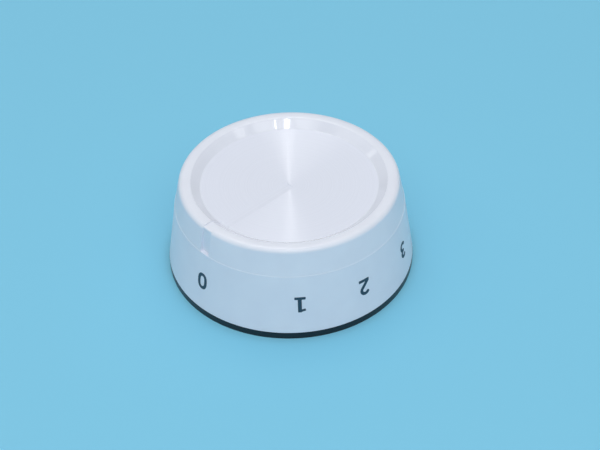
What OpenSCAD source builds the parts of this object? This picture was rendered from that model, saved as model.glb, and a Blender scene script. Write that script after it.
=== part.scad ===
// Push-on control knob for a cooker: a white moulded cap with a dished face, a
// pointer groove and a dial skirt, seated on a black moulded carrier that holds
// the D-shaped shaft socket and its spring clip.
// The foot stands on Z = 0, the shaft axis is Z and the pointer is at -Y.

/* [Overall] */
// Diameter across the foot of the dial skirt
base_d = 50; // [40:0.5:80]
// Height from the foot to the top of the rim
overall_h = 20; // [16.5:0.1:40]

/* [Dial skirt] */
// Draft of the dial skirt from the shaft axis, in degrees
skirt_taper = 8.7; // [3:0.1:14]
// Rounding of the skirt's lower edge
foot_round = 0.15; // [0.1:0.05:0.6]
// Width of the ledge where the grip band sits in from the skirt
seam_step = 0.05; // [0.02:0.01:0.6]

/* [Grip band and rim] */
// Height of the grip band above the dial skirt
band_h = 5.65; // [4:0.05:9]
// Draft of the grip band from the shaft axis, in degrees
band_taper = 11.4; // [4:0.1:16]
// Width of the rim, from the band's top corner to the bevel
rim_w = 2.3; // [1.8:0.1:4]
// Slope of the crowned rim at its two edges, in degrees
rim_crown = 8; // [2:0.5:12]
// Rounding of the rim's outer edge
rim_round = 1; // [0.2:0.05:1.1]
// Rounding of the rim's inner edge
rim_inner_round = 0.7; // [0.1:0.05:1]

/* [Face] */
// Width of the bevel between the rim and the face
bevel_w = 1.8; // [1:0.1:3]
// Depth of the bevel
bevel_h = 1.5; // [0.8:0.1:2.5]
// Fillet at the foot of the bevel
bevel_fillet = 0.4; // [0.2:0.1:1]
// How far the middle of the face lies below its edge
dish = 0.45; // [0.2:0.05:1]

/* [Pointer groove] */
// Width of the pointer groove
pointer_w = 2.3; // [1.2:0.1:3.5]
// Depth of the scooped groove along the face
scoop_depth = 0.09; // [0.03:0.01:0.4]
// Depth of the groove where it crosses the rim
rim_groove = 0.1; // [0.05:0.05:0.6]
// Depth of the notch at the foot of the grip band
notch_depth = 0.75; // [0.4:0.05:1]

/* [Cap moulding] */
// Wall of the cap, measured square to the shaft axis
cap_wall = 1.8; // [1.5:0.1:3]
// Thickness of the cap's face and rim
roof_t = 2; // [1.5:0.1:3]
// Number of ribs inside the cap that key the carrier
key_count = 4; // [3:1:8]
// Width of each key rib
key_w = 2.4; // [1.6:0.1:4]
// How far each key rib stands in from the cap's wall
key_depth = 0.9; // [0.5:0.1:1.2]
// Depth of the snap groove round the inside of the cap
snap_depth = 0.4; // [0.2:0.05:0.6]
// Wall of the collar that centres the hub under the face
collar_t = 1.4; // [1:0.1:2.5]
// Length of that collar
collar_h = 2.4; // [1:0.1:4]

/* [Carrier] */
// Height of the black base ring below the cap
base_h = 1.4; // [0.8:0.1:3]
// How far the base ring lies in from the foot of the skirt
base_inset = 0; // [0:0.05:1]
// Play between the carrier and the cap
fit_gap = 0.1; // [0.05:0.01:0.3]
// Wall of the carrier
carrier_wall = 1.8; // [1.6:0.1:3]
// Height of the carrier's wall above the foot
carrier_h = 9; // [8:0.1:13]
// Thickness of the carrier's web
web_t = 1.4; // [1:0.1:2.5]
// Number of stiffening ribs under the web
rib_count = 4; // [4:4:12]
// Thickness of each stiffening rib
rib_t = 1.4; // [1:0.1:2]
// Height of the ribs' lower edge above the foot
rib_lift = 1.2; // [0.5:0.1:3]

/* [Shaft socket] */
// Diameter of the shaft
shaft_d = 6; // [4:0.1:8]
// Thickness of the shaft across its flat
shaft_flat = 4.6; // [3:0.1:7]
// Radial play of the shaft in the D-shaped length of the socket
shaft_gap = 0.05; // [0.02:0.01:0.15]
// Radial play of the shaft in the round mouth of the socket
mouth_gap = 0.25; // [0.22:0.01:0.4]
// Thickness of the hub left above the socket
socket_roof = 2.6; // [1:0.1:5]
// Length of the round mouth, ahead of the D-shaped length
round_depth = 4.4; // [3:0.1:6]
// Chamfer at the mouth
mouth_chamfer = 0.5; // [0.2:0.1:0.8]
// Outer diameter of the hub
hub_d = 11; // [10:0.1:16]
// How far the hub's mouth lies above the foot
hub_lift = 0.6; // [0.2:0.1:2]
// Width of the two slots that let the hub spring
slot_w = 1; // [0.6:0.1:1.5]
// Length of those slots
slot_l = 5.8; // [4:0.1:6.5]

/* [Spring clip] */
// Thickness of the clip's steel strip
clip_t = 0.5; // [0.3:0.1:0.8]
// Height of the strip
clip_h = 3; // [2:0.1:3.4]
// Depth of the clip's seat in the hub
clip_seat = 0.3; // [0.1:0.05:0.5]
// Open angle of the clip, in degrees
clip_open = 50; // [30:1:90]

/* [Hidden] */
$fn = 120;

base_r = base_d / 2;
seam_z = overall_h - band_h;
bevel_slope = atan(bevel_h / bevel_w);
rim_out_r = band_r(overall_h);
rim_in_r = rim_out_r - rim_w;
// the rim's top is an arc that falls away to both edges
crown_r = rim_w / 2 / sin(rim_crown);
rim_edge_z = overall_h - crown_r * (1 - cos(rim_crown));
face_r = rim_in_r - bevel_w;
face_edge_z = rim_edge_z - bevel_h;
face_z = face_edge_z - dish;
// the face is part of a sphere of this radius
dish_r = (pow(face_r, 2) + pow(dish, 2)) / (2 * dish);
dish_angle = asin(face_r / dish_r);
face_rings = 6;
roof_z = face_z - roof_t;
rim_under_z = overall_h - roof_t;
roof_r = rim_in_r - (rim_under_z - roof_z) / tan(bevel_slope);

// the snap sits at mid height of the carrier's wall
snap_z = (base_h + carrier_h) / 2 + 1;
snap_land = 0.5;
bead_angle = 24;
key_foot_z = base_h + 1.6;
// how far a rib or collar runs into the wall that carries it
weld = 0.5;

hub_r = hub_d / 2;
// the hub stops short of the cap's roof
hub_top = roof_z - 4 * fit_gap;
web_z = carrier_h - web_t;
mouth_r = shaft_d / 2 + mouth_gap;
bore_r = shaft_d / 2 + shaft_gap;
flat_y = shaft_flat - shaft_d / 2 + shaft_gap;
socket_top = hub_top - socket_roof;
// the clip lies this far above the hub's mouth, and the ribs keep clear of it
clip_lift = 0.7;
clip_clear = 0.5;
clip_z = hub_lift + clip_lift;
clip_play = 0.02;
rib_hub_z = clip_z + clip_h + clip_clear;
rib_hub_r = hub_r + clip_t + clip_clear;
rib_reach = 3;
first_rib = 45;

// radius of the skirt's outside, the band's outside and the cap's hollow at height z
function skirt_r(z) = base_r - (z - base_h) * tan(skirt_taper);
function band_r(z) = skirt_r(seam_z) - seam_step - (z - seam_z) * tan(band_taper);
function hollow_r(z) = skirt_r(z) - cap_wall;
function carrier_r(z) = hollow_r(z) - fit_gap;

// rounded corner at p between edges whose outward normals point at a1 and a2,
// for an outline that runs anticlockwise; a corner that turns back is a fillet
function corner(p, a1, a2, r, steps = 4) =
    let (side = a2 > a1 ? -1 : 1,
         n1 = [cos(a1), sin(a1)],
         n2 = [cos(a2), sin(a2)],
         c = p + side * r * (n1 + n2) / (1 + n1 * n2))
    [for (i = [0:steps])
        let (a = a1 + (a2 - a1) * i / steps) c - side * r * [cos(a), sin(a)]];

// stands an outline of [radius, height] points up as a plate at azimuth az
module radial_plate(az, t) {
    rotate([0, 0, az])
        rotate([90, 0, 0])
            translate([0, 0, -t / 2])
                linear_extrude(t) children();
}

// snap profile: depth d proud of the surface radius function's value at each end
function snap_points(r_low, r_high, d, land) =
    [[r_low, snap_z - land - d], [(r_low + r_high) / 2 + d, snap_z - land],
     [(r_low + r_high) / 2 + d, snap_z + land], [r_high, snap_z + land + d]];

// section of the cap from its foot, over the rim and face, and back inside
function cap_section() = concat(
    [[hollow_r(base_h), base_h]],
    corner([base_r, base_h], -90, skirt_taper, foot_round),
    [[skirt_r(seam_z), seam_z], [band_r(seam_z), seam_z]],
    corner([rim_out_r, rim_edge_z], band_taper, 90 - rim_crown, rim_round, 6),
    [for (i = [-1:1])
        let (a = i * rim_crown / 2)
        [(rim_out_r + rim_in_r) / 2 - crown_r * sin(a), overall_h - crown_r * (1 - cos(a))]],
    corner([rim_in_r, rim_edge_z], 90 + rim_crown, 90 + bevel_slope, rim_inner_round),
    corner([face_r, face_edge_z], 90 + bevel_slope, 90 + dish_angle, bevel_fillet),
    [for (i = [face_rings - 1:-1:1])
        let (r = face_r * i / face_rings) [r, face_z + dish_r - sqrt(dish_r * dish_r - r * r)]],
    // the dish runs out flat in the middle
    [[face_r / face_rings / 2, face_z], [0, face_z], [0, roof_z], [roof_r, roof_z], [rim_in_r, rim_under_z],
     [hollow_r(rim_under_z), rim_under_z]],
    [for (p = reversed(snap_points(hollow_r(snap_z - snap_land - snap_depth),
                                   hollow_r(snap_z + snap_land + snap_depth),
                                   snap_depth, snap_land))) p]);

function reversed(list) = [for (i = [len(list) - 1:-1:0]) list[i]];

// the scoop along the face, and the channel over the rim that ends at the seam
module pointer_groove() {
    scoop_r = (pow(pointer_w / 2, 2) + pow(scoop_depth, 2)) / (2 * scoop_depth);
    translate([0, 0, face_z + dish_r])
        rotate([0, 90, 0])
            rotate([0, 0, -dish_angle])
                rotate_extrude(angle = dish_angle)
                    translate([dish_r + scoop_depth - scoop_r, 0])
                        circle(r = scoop_r);
    intersection() {
        translate([-pointer_w / 2, -base_r, 0])
            cube([pointer_w, base_r, overall_h + 1]);
        rotate_extrude()
            polygon([[face_r - bevel_fillet, face_edge_z - scoop_depth],
                     [face_r, face_edge_z - scoop_depth],
                     [rim_in_r, rim_edge_z - rim_groove],
                     [rim_out_r - rim_groove, rim_edge_z - rim_groove],
                     [skirt_r(seam_z) - notch_depth, seam_z],
                     [base_r, seam_z],
                     [base_r, overall_h + 1],
                     [face_r - bevel_fillet, overall_h + 1]]);
    }
}

module cap() {
    color([0.95, 0.96, 0.97])
    union() {
        difference() {
            rotate_extrude() polygon(cap_section());
            pointer_groove();
        }
        // ribs that key the carrier against turning
        for (i = [0:key_count - 1])
            radial_plate(i * 360 / key_count, key_w)
                polygon([[hollow_r(key_foot_z) - key_depth, key_foot_z],
                         [hollow_r(key_foot_z) + weld, key_foot_z],
                         [hollow_r(roof_z) + weld, roof_z],
                         [hollow_r(roof_z) + weld, roof_z + weld],
                         [roof_r, roof_z + weld],
                         [hollow_r(roof_z) - key_depth, roof_z - key_depth]]);
        // collar that centres the hub
        translate([0, 0, roof_z - collar_h])
            difference() {
                cylinder(r = hub_r + fit_gap + collar_t, h = collar_h + weld);
                translate([0, 0, -1])
                    cylinder(r = hub_r + fit_gap, h = collar_h + 1);
            }
    }
}

// round mouth, then the D-shaped length that drives the shaft's flat
module shaft_socket() {
    translate([0, 0, hub_lift - 1])
        cylinder(r = mouth_r, h = round_depth + 1);
    translate([0, 0, hub_lift - mouth_chamfer])
        cylinder(r1 = mouth_r + 2 * mouth_chamfer, r2 = mouth_r, h = 2 * mouth_chamfer);
    difference() {
        translate([0, 0, hub_lift])
            cylinder(r = bore_r, h = socket_top - hub_lift);
        translate([-hub_r, -hub_r - flat_y, hub_lift + round_depth])
            cube([hub_d, hub_r, socket_top]);
    }
}

module carrier() {
    color([0.05, 0.05, 0.06])
    difference() {
        union() {
            // base ring and the wall that plugs into the cap
            rotate_extrude()
                polygon([[carrier_r(0) - carrier_wall, 0],
                         [base_r - base_inset, 0],
                         [base_r - base_inset, base_h],
                         [carrier_r(base_h), base_h],
                         [carrier_r(carrier_h), carrier_h],
                         [0, carrier_h],
                         [0, web_z],
                         [carrier_r(web_z) - carrier_wall, web_z]]);
            // beads that snap into the cap's groove
            for (i = [0:key_count - 1])
                rotate([0, 0, (i + 0.5) * 360 / key_count - bead_angle / 2])
                    rotate_extrude(angle = bead_angle)
                        polygon(concat(
                            snap_points(carrier_r(snap_z), carrier_r(snap_z),
                                        snap_depth - fit_gap, snap_land - fit_gap),
                            [[carrier_r(snap_z) - weld, snap_z]]));
            for (i = [0:rib_count - 1])
                radial_plate(first_rib + i * 360 / rib_count, rib_t)
                    polygon([[hub_r - weld, rib_hub_z],
                             [rib_hub_r, rib_hub_z],
                             [rib_hub_r + rib_reach, rib_lift],
                             [carrier_r(rib_lift) - carrier_wall + weld, rib_lift],
                             [carrier_r(web_z) - carrier_wall + weld, web_z + weld],
                             [hub_r - weld, web_z + weld]]);
            translate([0, 0, hub_lift])
                cylinder(r = hub_r, h = hub_top - hub_lift);
        }
        shaft_socket();
        // slots beside the flat
        for (side = [0, 180])
            rotate([0, 0, side])
                translate([0, -slot_w / 2, hub_lift - 1])
                    cube([hub_r + 1, slot_w, slot_l + 1]);
        // seat of the spring clip
        translate([0, 0, clip_z])
            difference() {
                cylinder(r = hub_r + 1, h = clip_h + 2 * clip_play);
                translate([0, 0, -1])
                    cylinder(r = hub_r - clip_seat, h = clip_h + 3);
            }
        // grooves for the cap's key ribs, open at the top
        for (i = [0:key_count - 1])
            radial_plate(i * 360 / key_count, key_w + 2 * fit_gap)
                polygon([[hollow_r(key_foot_z) - key_depth - fit_gap, key_foot_z - fit_gap],
                         [base_r, key_foot_z - fit_gap],
                         [base_r, carrier_h + 1],
                         [hollow_r(carrier_h) - key_depth - fit_gap, carrier_h + 1],
                         [hollow_r(carrier_h) - key_depth - fit_gap, carrier_h]]);
    }
}

module shaft_clip() {
    color([0.72, 0.73, 0.75])
    translate([0, 0, clip_z + clip_play])
        rotate([0, 0, 90 + clip_open / 2])
            rotate_extrude(angle = 360 - clip_open)
                translate([hub_r - clip_seat + clip_play, 0])
                    square([clip_t, clip_h]);
}

cap();
carrier();
shaft_clip();
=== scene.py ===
import math

import bpy
from mathutils import Matrix, Vector


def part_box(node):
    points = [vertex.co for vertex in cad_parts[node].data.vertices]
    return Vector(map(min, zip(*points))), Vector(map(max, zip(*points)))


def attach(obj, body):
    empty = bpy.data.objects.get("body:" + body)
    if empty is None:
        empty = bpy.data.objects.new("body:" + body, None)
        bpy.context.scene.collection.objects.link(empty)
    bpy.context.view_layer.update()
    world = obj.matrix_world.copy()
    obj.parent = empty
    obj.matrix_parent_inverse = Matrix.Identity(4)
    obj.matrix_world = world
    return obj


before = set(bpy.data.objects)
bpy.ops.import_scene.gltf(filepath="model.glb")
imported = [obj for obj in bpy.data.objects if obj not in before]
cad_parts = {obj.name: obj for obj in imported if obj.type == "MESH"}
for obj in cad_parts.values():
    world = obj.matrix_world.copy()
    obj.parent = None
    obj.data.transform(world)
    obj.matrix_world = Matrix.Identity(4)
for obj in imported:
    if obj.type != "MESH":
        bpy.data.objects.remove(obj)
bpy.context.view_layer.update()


# The cap: one white ABS moulding with the rim, the bevel, the dished face, the
# pointer groove, the grip band and the dial skirt. Its outside is satin, its
# bevel polished, its face finely turned, and the scoop of its pointer milled.
MM = 0.001
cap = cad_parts["cap"]
FACE_R = 17.75 * MM
RIM_IN_R = 19.5 * MM
FILLET_REACH = 0.15 * MM
POINTER_W = 2.3 * MM
DISH = 0.45 * MM
FACE_MID_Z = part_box("cap")[1].z - 2.03 * MM
DISH_R = (FACE_R ** 2 + DISH ** 2) / (2 * DISH)


def linear(code):
    """A colour written as sRGB hex, such as F2F3F4, as linear red, green, blue and alpha."""
    out = []
    for i in (0, 2, 4):
        v = int(code[i:i + 2], 16) / 255
        out.append(v / 12.92 if v <= 0.04045 else ((v + 0.055) / 1.055) ** 2.4)
    return (*out, 1.0)


def new_finish(name, **sockets):
    """A material of that name with values set on its surface shader's own sockets."""
    finish = bpy.data.materials.new(name)
    finish.use_nodes = True
    shader = finish.node_tree.nodes["Principled BSDF"]
    for socket, value in sockets.items():
        shader.inputs[socket.replace("_", " ")].default_value = value
    return finish, shader


def add_node(finish, kind, settings=(), values=(), links=()):
    """Adds a node: settings are its own fields, values its input sockets, links (socket, node, output)."""
    made = finish.node_tree.nodes.new(kind)
    for field, value in dict(settings).items():
        setattr(made, field, value)
    for socket, value in dict(values).items():
        made.inputs[socket].default_value = value
    for socket, source, output in links:
        finish.node_tree.links.new(source.outputs[output], made.inputs[socket])
    return made


def join(finish, source, output, target, socket):
    finish.node_tree.links.new(source.outputs[output], target.inputs[socket])


# Satin ABS: the tool's fine blasted finish gives a soft sheen without sharp
# reflections, over a body that is never quite even.
abs_white, shader = new_finish("white ABS satin moulding", Roughness=0.28, IOR=1.54)
place = add_node(abs_white, "ShaderNodeTexCoord")
cloud = add_node(abs_white, "ShaderNodeTexNoise", values={"Scale": 1 / (6 * MM), "Detail": 2.0},
                 links=[("Vector", place, "Object")])
body = add_node(abs_white, "ShaderNodeValToRGB", links=[("Fac", cloud, "Fac")])
body.color_ramp.elements[0].position, body.color_ramp.elements[0].color = 0.3, linear("E6EBF7")
body.color_ramp.elements[1].position, body.color_ramp.elements[1].color = 0.7, linear("EAEFFA")
join(abs_white, body, "Color", shader, "Base Color")
# shrinkage: waves about 1.5 mm long and about a micrometre high
wave = add_node(abs_white, "ShaderNodeTexNoise", values={"Scale": 1 / (1.5 * MM), "Detail": 1.0},
                links=[("Vector", place, "Object")])
polish = add_node(abs_white, "ShaderNodeBump", values={"Strength": 1.0, "Distance": 0.0012 * MM},
                  links=[("Height", wave, "Fac")])
join(abs_white, polish, "Normal", shader, "Normal")

# Polished ABS: the bevel comes from a polished ring in the tool, so it alone
# shows the lamps as sharp glints.
abs_gloss, shader = new_finish("white ABS polished bevel", Roughness=0.08, IOR=1.54)
place = add_node(abs_gloss, "ShaderNodeTexCoord")
cloud = add_node(abs_gloss, "ShaderNodeTexNoise", values={"Scale": 1 / (6 * MM), "Detail": 2.0},
                 links=[("Vector", place, "Object")])
body = add_node(abs_gloss, "ShaderNodeValToRGB", links=[("Fac", cloud, "Fac")])
body.color_ramp.elements[0].position, body.color_ramp.elements[0].color = 0.3, linear("E6EBF7")
body.color_ramp.elements[1].position, body.color_ramp.elements[1].color = 0.7, linear("EAEFFA")
join(abs_gloss, body, "Color", shader, "Base Color")

# Turned ABS: rings about 0.1 mm apart, finer than the picture can show, so the
# rings are drawn 0.25 mm apart and the rest of their sheen is stretched gloss.
abs_turned, shader = new_finish("white ABS turned face", Roughness=0.22, IOR=1.54,
                                Anisotropic=1.0, Anisotropic_Rotation=0.25)
place = add_node(abs_turned, "ShaderNodeTexCoord")
split = add_node(abs_turned, "ShaderNodeSeparateXYZ", links=[("Vector", place, "Object")])
flat = add_node(abs_turned, "ShaderNodeCombineXYZ", links=[("X", split, "X"), ("Y", split, "Y")])
reach = add_node(abs_turned, "ShaderNodeVectorMath", {"operation": "LENGTH"}, links=[(0, flat, "Vector")])
rings = add_node(abs_turned, "ShaderNodeTexNoise", {"noise_dimensions": "1D"},
                 {"Scale": 1 / (0.25 * MM), "Detail": 2.0}, [("W", reach, "Value")])
body = add_node(abs_turned, "ShaderNodeValToRGB", links=[("Fac", rings, "Fac")])
body.color_ramp.elements[0].position, body.color_ramp.elements[0].color = 0.3, linear("E5EAF7")
body.color_ramp.elements[1].position, body.color_ramp.elements[1].color = 0.7, linear("E8EDFA")
join(abs_turned, body, "Color", shader, "Base Color")
marks = add_node(abs_turned, "ShaderNodeBump", values={"Strength": 1.0, "Distance": 0.0005 * MM},
                 links=[("Height", rings, "Fac")])
join(abs_turned, marks, "Normal", shader, "Normal")
round_axis = add_node(abs_turned, "ShaderNodeTangent", {"direction_type": "RADIAL", "axis": "Z"})
join(abs_turned, round_axis, "Tangent", shader, "Tangent")

# Milled ABS: the pointer's scoop was cut along its length with a ball-nosed
# tool, its marks 0.1 mm apart and drawn 0.2 mm apart. Its colour runs a touch
# darker than the turned face's: painted shade in the groove and its marks.
abs_milled, shader = new_finish("white ABS milled groove", Roughness=0.16, IOR=1.54)
place = add_node(abs_milled, "ShaderNodeTexCoord")
split = add_node(abs_milled, "ShaderNodeSeparateXYZ", links=[("Vector", place, "Object")])
cuts = add_node(abs_milled, "ShaderNodeTexNoise", {"noise_dimensions": "1D"},
                {"Scale": 1 / (0.2 * MM), "Detail": 1.0}, [("W", split, "X")])
body = add_node(abs_milled, "ShaderNodeValToRGB", links=[("Fac", cuts, "Fac")])
# painted shade: the groove's low shade is a level darker than the turned face's
body.color_ramp.elements[0].position, body.color_ramp.elements[0].color = 0.3, linear("E4E9F6")
body.color_ramp.elements[1].position, body.color_ramp.elements[1].color = 0.7, linear("E8EDFA")
join(abs_milled, body, "Color", shader, "Base Color")
marks = add_node(abs_milled, "ShaderNodeBump", values={"Strength": 1.0, "Distance": 0.0006 * MM},
                 links=[("Height", cuts, "Fac")])
join(abs_milled, marks, "Normal", shader, "Normal")

cap.data.materials.clear()
for finish in (abs_white, abs_gloss, abs_turned, abs_milled):
    cap.data.materials.append(finish)
for face in cap.data.polygons:
    mid = sum((cap.data.vertices[i].co for i in face.vertices), Vector()) / len(face.vertices)
    out = math.hypot(mid.x, mid.y)
    dish_z = FACE_MID_Z + DISH_R - math.sqrt(max(DISH_R ** 2 - out ** 2, 0))
    if out < FACE_R - FILLET_REACH and abs(mid.z - dish_z) < 0.2 * MM:
        in_groove = mid.y < 0 and abs(mid.x) < POINTER_W / 2
        face.material_index = 3 if in_groove else 2
    elif out < RIM_IN_R and mid.z > dish_z - 0.2 * MM:
        face.material_index = 1


# The dial numerals: plain figures 0 to 9, pad-printed in one slate ink on the
# skirt, with their heads towards the foot. 0 is under the pointer; 1 follows
# after a wider gap, and the rest are evenly spaced.
FIRST_STEP, STEP = 50.0, 32.0
SKIRT_R, SKIRT_FOOT_Z, SKIRT_TAPER = 25.0, 1.4, math.radians(8.7)
DIAL_Z = 8.0
INK = 0.34
EDGE = 0.06


def sweep(x, y, rx, ry, start, end, count=14):
    """Points on an ellipse, between two angles in degrees."""
    turns = [math.radians(start + (end - start) * i / count) for i in range(count + 1)]
    return [(x + rx * math.cos(t), y + ry * math.sin(t)) for t in turns]


def oval(rx, ry, square, count=32):
    """A closed ring with flatter sides than an ellipse."""
    points = []
    for i in range(count + 1):
        c, s = math.cos(2 * math.pi * i / count), math.sin(2 * math.pi * i / count)
        points.append((rx * math.copysign(abs(c) ** (2 / square), c),
                       ry * math.copysign(abs(s) ** (2 / square), s)))
    return points


# each figure as brush strokes in millimetres: (half width, points)
FIGURES = [
    [(INK, oval(0.9, 1.52, 2.5))],
    [(0.38, [(0.1, 1.75), (0.1, -1.75)]), (0.29, [(-1.05, -1.46), (1.1, -1.46)]),
     (0.25, [(-1.02, 1.18), (0.3, 1.5)])],
    [(INK, sweep(-0.1, 0.72, 0.82, 0.8, 152, -32) + [(-0.92, -1.42)]),
     (0.31, [(-1.2, -1.54), (1.2, -1.54)])],
    [(INK, sweep(-0.1, 0.84, 0.78, 0.68, 152, -80)), (INK, [(-0.45, 0.14), (0.0, 0.14)]),
     (INK, sweep(-0.1, -0.7, 0.9, 0.82, 80, -152))],
    [(0.3, [(0.3, 1.6), (-1.02, -0.72)]), (0.3, [(-1.24, -0.86), (1.2, -0.86)]),
     (0.37, [(0.42, 1.85), (0.42, -1.85)])],
    [(0.31, [(-0.98, 1.54), (0.95, 1.54)]), (0.33, [(-0.68, 1.8), (-0.72, 0.1)]),
     (INK, sweep(-0.16, -0.6, 0.98, 0.92, 122, -150))],
    [(INK, sweep(0.0, -0.68, 0.87, 0.83, 0, 360, 28)), (INK, sweep(0.42, -0.5, 1.3, 2.02, 72, 180))],
    [(0.31, [(-1.12, 1.54), (1.12, 1.54)]), (0.37, [(0.82, 1.5), (-0.42, -1.85)])],
    [(INK, sweep(0.0, 0.86, 0.76, 0.66, 0, 360, 24)), (INK, sweep(0.0, -0.72, 0.9, 0.8, 0, 360, 28))],
    [(INK, sweep(0.0, 0.68, 0.87, 0.83, 0, 360, 28)), (INK, sweep(-0.42, 0.5, 1.3, 2.02, -108, 0))],
]


def ink_edge(strokes, x, y):
    """Distance in millimetres from a point to the inked area, below zero inside it."""
    nearest = 9.0
    for half, points in strokes:
        core = half - EDGE
        for (ax, ay), (bx, by) in zip(points, points[1:]):
            length = math.hypot(bx - ax, by - ay)
            ux, uy = (bx - ax) / length, (by - ay) / length
            px, py = x - (ax + bx) / 2, y - (ay + by) / 2
            along = abs(px * ux + py * uy) - max(length / 2 - EDGE, 0)
            aside = abs(py * ux - px * uy) - core
            off = math.hypot(max(along, 0), max(aside, 0)) + min(max(along, aside), 0)
            nearest = min(nearest, off)
        for jx, jy in points[1:-1]:
            nearest = min(nearest, math.hypot(x - jx, y - jy) - core)
    return nearest - EDGE


def on_skirt(azimuth, x, y):
    """A point of a figure, in the frame: figures hang head down, so their up is down the skirt."""
    z = DIAL_Z - y * math.cos(SKIRT_TAPER)
    r = SKIRT_R - (z - SKIRT_FOOT_Z) * math.tan(SKIRT_TAPER) + 0.012
    turn = math.radians(azimuth) - x / r
    return Vector((r * math.sin(turn), -r * math.cos(turn), z)) * MM


def ink_figure(strokes, azimuth, corners, faces, pitch=0.07):
    """Fills the inked area of one figure with small faces cut along its edge."""
    wide, high = 22, 30
    field = {(i, j): ink_edge(strokes, i * pitch, j * pitch)
             for i in range(-wide, wide + 1) for j in range(-high, high + 1)}
    known = {}

    def corner(key, x, y):
        if key not in known:
            known[key] = len(corners)
            corners.append(on_skirt(azimuth, x * pitch, y * pitch))
        return known[key]

    for i in range(-wide, wide):
        for j in range(-high, high):
            square = [(i, j), (i + 1, j), (i + 1, j + 1), (i, j + 1)]
            face = []
            for a, b in zip(square, square[1:] + square[:1]):
                da, db = field[a], field[b]
                if da < 0:
                    face.append(corner(a, *a))
                if (da < 0) != (db < 0):
                    t = da / (da - db)
                    face.append(corner((min(a, b), max(a, b)), a[0] + t * (b[0] - a[0]), a[1] + t * (b[1] - a[1])))
            if len(face) > 2:
                faces.append(face)


corners, faces = [], []
for number, strokes in enumerate(FIGURES):
    azimuth = 0.0 if number == 0 else FIRST_STEP + (number - 1) * STEP
    ink_figure(strokes, azimuth, corners, faces)
mesh = bpy.data.meshes.new("dial_numerals")
mesh.from_pydata(corners, [], faces)
numerals = bpy.data.objects.new("dial_numerals", mesh)
bpy.context.scene.collection.objects.link(numerals)
film = numerals.modifiers.new("ink film", "SOLIDIFY")
film.thickness, film.offset = 0.02 * MM, 0.0
for face in mesh.polygons:
    face.use_smooth = True

# Pad-printing ink: a thin matt film, a little uneven where the pad lifted.
ink, shader = new_finish("slate pad-printing ink", Roughness=0.5, IOR=1.5)
place = add_node(ink, "ShaderNodeTexCoord")
lift = add_node(ink, "ShaderNodeTexNoise", values={"Scale": 1 / (0.3 * MM), "Detail": 3.0},
                links=[("Vector", place, "Object")])
body = add_node(ink, "ShaderNodeValToRGB", links=[("Fac", lift, "Fac")])
body.color_ramp.elements[0].position, body.color_ramp.elements[0].color = 0.3, linear("253F50")
body.color_ramp.elements[1].position, body.color_ramp.elements[1].color = 0.75, linear("304E62")
join(ink, body, "Color", shader, "Base Color")
numerals.data.materials.append(ink)
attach(numerals, "root")


# The carrier: black ABS moulding that snaps up into the cap. Only its base ring
# shows from outside; underneath it has the hub, the ribs and the shaft socket.
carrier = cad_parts["carrier"]
# Spark-eroded tool: a fine grain about 0.2 mm across with a low sheen. The black
# is tinted navy, a painted reflection of the blue card it stands on.
abs_black, shader = new_finish("black ABS grained moulding", Roughness=0.32, IOR=1.54)
place = add_node(abs_black, "ShaderNodeTexCoord")
grain = add_node(abs_black, "ShaderNodeTexNoise", values={"Scale": 1 / (0.2 * MM), "Detail": 3.0},
                 links=[("Vector", place, "Object")])
body = add_node(abs_black, "ShaderNodeValToRGB", links=[("Fac", grain, "Fac")])
# black ABS with a navy tint: the tint is painted reflection of the blue card
body.color_ramp.elements[0].position, body.color_ramp.elements[0].color = 0.3, linear("060A13")
body.color_ramp.elements[1].position, body.color_ramp.elements[1].color = 0.7, linear("0C121F")
join(abs_black, body, "Color", shader, "Base Color")
relief = add_node(abs_black, "ShaderNodeBump", values={"Strength": 1.0, "Distance": 0.006 * MM},
                  links=[("Height", grain, "Fac")])
join(abs_black, relief, "Normal", shader, "Normal")
carrier.data.materials.clear()
carrier.data.materials.append(abs_black)


# The shaft clip: a band of spring steel strip, rolled bright and bent round the
# slotted hub, which it squeezes on the shaft.
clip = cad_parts["shaft_clip"]
# Rolled strip: lengthwise rolling lines about 0.05 mm apart, drawn 0.12 mm apart.
steel, shader = new_finish("spring steel rolled strip", Roughness=0.32, Metallic=1.0, Anisotropic=0.5)
place = add_node(steel, "ShaderNodeTexCoord")
split = add_node(steel, "ShaderNodeSeparateXYZ", links=[("Vector", place, "Object")])
lines = add_node(steel, "ShaderNodeTexNoise", {"noise_dimensions": "1D"},
                 {"Scale": 1 / (0.12 * MM), "Detail": 2.0}, [("W", split, "Z")])
body = add_node(steel, "ShaderNodeValToRGB", links=[("Fac", lines, "Fac")])
body.color_ramp.elements[0].position, body.color_ramp.elements[0].color = 0.3, linear("A9ABAD")
body.color_ramp.elements[1].position, body.color_ramp.elements[1].color = 0.7, linear("C6C8CA")
join(steel, body, "Color", shader, "Base Color")
round_axis = add_node(steel, "ShaderNodeTangent", {"direction_type": "RADIAL", "axis": "Z"})
join(steel, round_axis, "Tangent", shader, "Tangent")
clip.data.materials.clear()
clip.data.materials.append(steel)


# The table: plain pale blue card, wide enough to fill every view.
mesh = bpy.data.meshes.new("table_card")
half = 3.0
mesh.from_pydata([(-half, -half, 0), (half, -half, 0), (half, half, 0), (-half, half, 0)], [], [(0, 1, 2, 3)])
table = bpy.data.objects.new("table_card", mesh)
bpy.context.scene.collection.objects.link(table)
card, shader = new_finish("pale blue card", Roughness=0.85)
shader.inputs["Base Color"].default_value = linear("82CFED")
table.data.materials.append(card)


# The light: a pale room with broad soft boxes overhead, in front and at the
# sides. Small lamps add the glints on the bevel and the streak on the turned face.
FRONT = 46.5


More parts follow.
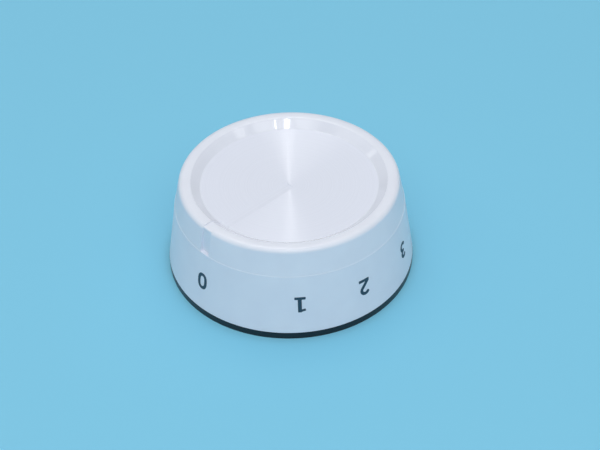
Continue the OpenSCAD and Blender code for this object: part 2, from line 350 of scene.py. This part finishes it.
def lamp(name, azimuth, elevation, distance, wide, high, watts, tint="FFFFFF"):
    """A flat soft lamp aimed at the knob. The azimuth is counted from the camera's side, to the right."""
    light = bpy.data.lights.new(name, "AREA")
    light.shape, light.size, light.size_y = "RECTANGLE", wide, high
    light.energy, light.color = watts, linear(tint)[:3]
    made = bpy.data.objects.new(name, light)
    bpy.context.scene.collection.objects.link(made)
    turn, rise = math.radians(FRONT + azimuth), math.radians(elevation)
    way = Vector((math.sin(turn) * math.cos(rise), -math.cos(turn) * math.cos(rise), math.sin(rise)))
    made.location = way * distance + Vector((0, 0, 0.012))
    made.rotation_euler = way.to_track_quat("Z", "Y").to_euler()
    return made


lamp("overhead soft box", 180, 72, 0.9, 0.9, 0.7, 1.55)
lamp("front soft box", 5, 52, 1.0, 0.9, 0.6, 2.65)
lamp("right soft box", 72, 52, 1.0, 0.9, 0.6, 0.45)
lamp("left soft box", -72, 52, 1.0, 0.9, 0.6, 0.58)
lamp("left low soft box", -120, 25, 1.1, 1.1, 0.8, 0.42)
lamp("low soft box behind", 180, 25, 1.1, 1.1, 0.8, 0.75)
lamp("flash glow", 2, 65, 0.8, 0.2, 0.2, 0.8).visible_glossy = False
lamp("flash", 1, 65, 0.8, 0.042, 0.024, 0.11).visible_diffuse = False
lamp("second glint", 21.6, 64.1, 0.8, 0.012, 0.012, 0.012).visible_diffuse = False
lamp("right window", 74, 54, 1.0, 0.14, 0.1, 0.09).visible_diffuse = False
lamp("left window", -118, 30, 1.0, 0.08, 0.05, 0.03).visible_diffuse = False
lamp("left reflector", -88, 40, 1.0, 0.95, 0.5, 0.9).visible_diffuse = False
lamp("front reflector", -36, 56, 1.0, 0.3, 0.4, 0.34).visible_diffuse = False
lamp("streak lamp", 180, 62, 0.9, 0.02, 0.2, 0.46).visible_diffuse = False
lamp("streak glow", -170, 62, 0.9, 0.26, 0.2, 1.1).visible_diffuse = False

world = bpy.data.worlds.new("pale room")
bpy.context.scene.world = world
world.use_nodes = True
world.node_tree.nodes["Background"].inputs["Color"].default_value = linear("F2F5F8")
world.node_tree.nodes["Background"].inputs["Strength"].default_value = 0.38

# The camera: 84 mm lens on a 36 mm frame, 283 mm away and 41 degrees up.
eye, aim, lean = Vector((155.93, -147.97, 194.26)) * MM, Vector((3.69, -0.846, 10.129)) * MM, math.radians(-1.29)
camera = bpy.data.objects.new("camera", bpy.data.cameras.new("camera"))
camera.data.lens, camera.data.sensor_width, camera.data.clip_start = 84.0, 36.0, 0.01
bpy.context.scene.collection.objects.link(camera)
look = (eye - aim).to_track_quat("Z", "Y").to_matrix().to_4x4()
camera.matrix_world = Matrix.Translation(eye) @ look @ Matrix.Rotation(lean, 4, "Z")
bpy.context.scene.camera = camera
bpy.context.scene.view_settings.view_transform = "Standard"

bpy.context.view_layer.update()
